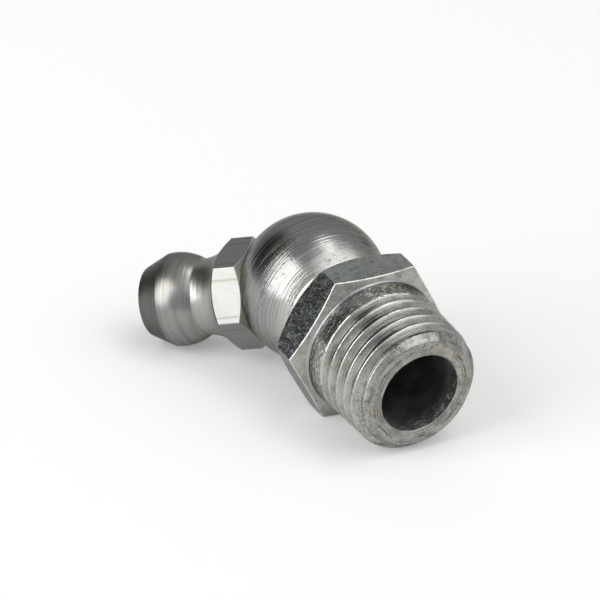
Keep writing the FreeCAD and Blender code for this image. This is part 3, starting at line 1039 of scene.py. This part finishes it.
def valve_ball_finish():
    """Polished hard steel with the faintest lapping marks."""
    lathe = Lathe("polished ball", HEAD_AXES)
    lapping = lathe.grain(0.12, 3.0, 0.7)
    colour = lapping.ease(0.35, 0.7).blend(DARK_POLISH, PALE_POLISH)
    return lathe.metal(colour, 0.07 + lapping * 0.06, lapping * 0.15)


def spring_finish():
    """Drawn spring wire: lines along the wire are too fine to see, so short scratches stand for them."""
    lathe = Lathe("drawn spring wire", HEAD_AXES)
    drawn = lathe.drawn_out(lathe.radius, 1.4, 0.05, 3.0, 0.6)
    colour = drawn.ease(0.3, 0.7).blend(DARK_WIRE, PALE_WIRE)
    return lathe.metal(colour, 0.24 + drawn * 0.12, drawn * 1.2)


# %% [markdown]
# Which faces get which finish
#
# The finishes change where the cuts change, at real edges. So each face is sorted by where its middle
# lies: how far along the axis, how far from it, and which way it faces. A later rule wins over an earlier
# one.

# %% Sort the faces
def face_places(piece, axis):
    """Reach along an axis, distance from it, and lean towards it, for the middle of every face."""
    count = len(piece.data.polygons)
    middle = np.empty(count * 3)
    normal = np.empty(count * 3)
    piece.data.polygons.foreach_get("center", middle)
    piece.data.polygons.foreach_get("normal", normal)
    offset = (middle.reshape(-1, 3) - ball_centre) / MM
    reach = offset @ axis
    radius = np.linalg.norm(offset - reach[:, None] * axis, axis=1)
    return reach, radius, normal.reshape(-1, 3) @ axis


def give_finishes(piece, finishes, number):
    """Puts finishes on a piece, with one finish's number for each face."""
    piece.data.materials.clear()
    for finish in finishes:
        piece.data.materials.append(finish)
    piece.data.polygons.foreach_set("material_index", number.astype(np.int32))
    print(piece.name, "faces per finish:", np.bincount(number, minlength=len(finishes)).tolist())


BALL, FLATS, CHAMFERS, COLLAR, THREAD, END, BORE, EDGES, SEAT = range(9)
BAR_INNER_RADIUS = 4.75
THREAD_FINISH_REACH = 9.85
INSIDE_RADIUS = 4.9
FACES_ALONG = 0.3
reach, radius, lean = face_places(elbow, thread_axis)
seat_reach, seat_lean = face_places(elbow, head_axis)[::2]
on_bar = (radius > BAR_INNER_RADIUS) & (reach > 3.0) & (reach < collar_reach)
elbow_zone = np.full(reach.size, BALL)
elbow_zone[on_bar & (np.abs(lean) < FACES_ALONG)] = FLATS
elbow_zone[on_bar & (np.abs(lean) >= FACES_ALONG)] = CHAMFERS
elbow_zone[(reach >= collar_reach - 0.05) & (radius < crest_radius(8.0) + 0.25)] = COLLAR
elbow_zone[reach > THREAD_FINISH_REACH] = THREAD
elbow_zone[reach > THREAD_REACH - CHAMFER_LENGTH] = END
elbow_zone[(radius < BORE_RADIUS + 0.02) & (reach > INSIDE_RADIUS)] = BORE
elbow_zone[np.hypot(reach, radius) < INSIDE_RADIUS] = BORE
on_edge = on_bar & (((lean > 0.12) & (lean < 0.93)) | ((lean < -0.12) & (lean > -0.78)))
elbow_zone[on_edge & (radius > 5.4)] = EDGES
elbow_zone[(seat_lean > 0.95) & (np.abs(seat_reach - SEAT_REACH) < 0.05)] = SEAT
elbow_finishes = [ball_finish(), flats_finish(), chamfer_finish(), collar_finish(), thread_finish(),
                  end_finish(), bore_finish(), edge_finish(), seat_finish()]
give_finishes(elbow, elbow_finishes, elbow_zone)

# %% Sort the head's faces
HEAD, SMALL_FLATS, CHAMBER, REAR_CHAMFER = range(4)
reach, radius, lean = face_places(head, head_axis)
head_zone = np.full(reach.size, HEAD)
between_ends = (reach > SEAT_REACH) & (reach < hex_end)
head_zone[between_ends & (radius > 3.45) & (np.abs(lean) < 0.2)] = SMALL_FLATS
head_zone[(radius < CHAMBER_RADIUS + 0.05) & (reach < FACE_REACH - 0.05)] = CHAMBER
head_zone[(radius > chamfer_foot) & (reach < SEAT_REACH + 0.4) & (lean < -FACES_ALONG)] = REAR_CHAMFER
head_finishes = [head_finish(), small_flats_finish(), chamber_finish(), rear_chamfer_finish()]
give_finishes(head, head_finishes, head_zone)
for piece, finish in ((frame["nodes"]["check_ball"], valve_ball_finish()), (spring, spring_finish())):
    piece.data.materials.clear()
    piece.data.materials.append(finish)

# %% [markdown]
# Table and light
#
# Metal shows its surroundings, so the light is most of the look. A large soft box stands low on the left,
# a small one hangs over the right, and the room is a plain grey, lighter high up at the front right and
# nearly black at the back left, as in a corner of a studio. The table is white paper. A fifth of what the
# eye gets from it is its own white, so that it looks as bright as a lit backdrop and still carries the
# shadow.

# %% Table
OWN_WHITE = 0.2
floor_mesh = bpy.data.meshes.new("table")
floor_mesh.from_pydata([(-3, -3, 0), (3, -3, 0), (3, 3, 0), (-3, 3, 0)], [], [(0, 1, 2, 3)])
floor = bpy.data.objects.new("table", floor_mesh)
bpy.context.scene.collection.objects.link(floor)


def paper():
    """White paper, a fifth of it plain white for the eye and for metal that mirrors it."""
    material = bpy.data.materials.new("paper")
    material.use_nodes = True
    tree = material.node_tree
    matt = tree.nodes["Principled BSDF"]
    matt.inputs["Base Color"].default_value = (0.95, 0.95, 0.95, 1)
    matt.inputs["Roughness"].default_value = 0.9
    rays = tree.nodes.new("ShaderNodeLightPath")
    seen = Wire(tree, rays.outputs["Is Camera Ray"]) + Wire(tree, rays.outputs["Is Glossy Ray"])
    seen = seen + Wire(tree, rays.outputs["Is Transmission Ray"])
    white = seen.node("ShaderNodeEmission", {}, {"Color": (1, 1, 1, 1), "Strength": 1.0})
    share = seen.maths("MINIMUM", 1.0) * OWN_WHITE
    mixed = seen.node("ShaderNodeMixShader", {}, {0: share, 1: Wire(tree, matt.outputs[0]), 2: white})
    tree.links.new(mixed.output, tree.nodes["Material Output"].inputs["Surface"])
    return material


floor_mesh.materials.append(paper())


# %% Room
def direction(azimuth, elevation):
    """The direction towards a place in the room, azimuth as for the camera."""
    a, e = np.radians([azimuth, elevation])
    return np.array([math.sin(a) * math.cos(e), -math.cos(a) * math.cos(e), math.sin(e)])


def round_patch(seen, azimuth, elevation, outer, inner):
    """1 within an inner angle of a direction in the room, easing to 0 at an outer angle."""
    edge, full = np.cos(np.radians([outer, inner]))
    return seen.dot(direction(azimuth, elevation)).ease(float(edge), float(full))


def room():
    """Grey, brighter high up at the front right, and nearly black at the back left."""
    world = bpy.data.worlds.new("studio")
    bpy.context.scene.world = world
    world.use_nodes = True
    seen = Wire(world.node_tree).node("ShaderNodeTexCoord", output="Generated")
    ceiling = round_patch(seen, azimuth=36, elevation=52, outer=45, inner=12)
    screen = round_patch(seen, azimuth=-147, elevation=26, outer=34, inner=16)
    grey = (0.5 + ceiling * 1.1) * (1 - screen * 0.92)
    background = world.node_tree.nodes["Background"]
    background.inputs["Strength"].default_value = 1.0
    world.node_tree.links.new(seen.vector(grey, grey, grey).output, background.inputs["Color"])


room()


# %% Soft boxes
def softbox(name, azimuth, elevation, distance, width, height, radiance, colour):
    """A rectangular lamp that faces the object. Its power is pi times its area times its radiance."""
    back = direction(azimuth, elevation)
    right = direction(azimuth + 90, 0)
    data = bpy.data.lights.new(name, "AREA")
    data.shape = "RECTANGLE"
    data.size = width
    data.size_y = height
    data.energy = math.pi * width * height * radiance
    data.color = colour
    lamp = bpy.data.objects.new(name, data)
    bpy.context.scene.collection.objects.link(lamp)
    matrix = np.eye(4)
    matrix[:3, :4] = np.stack([right, np.cross(back, right), back, back * distance], axis=1)
    lamp.matrix_world = Matrix(matrix.tolist())


softbox("left box", azimuth=-88, elevation=29, distance=0.6, width=0.41, height=0.60, radiance=3.2,
        colour=(1.0, 0.99, 0.975))
softbox("overhead box", azimuth=90, elevation=73, distance=0.7, width=0.26, height=0.2, radiance=2.3,
        colour=(1.0, 0.965, 0.9))
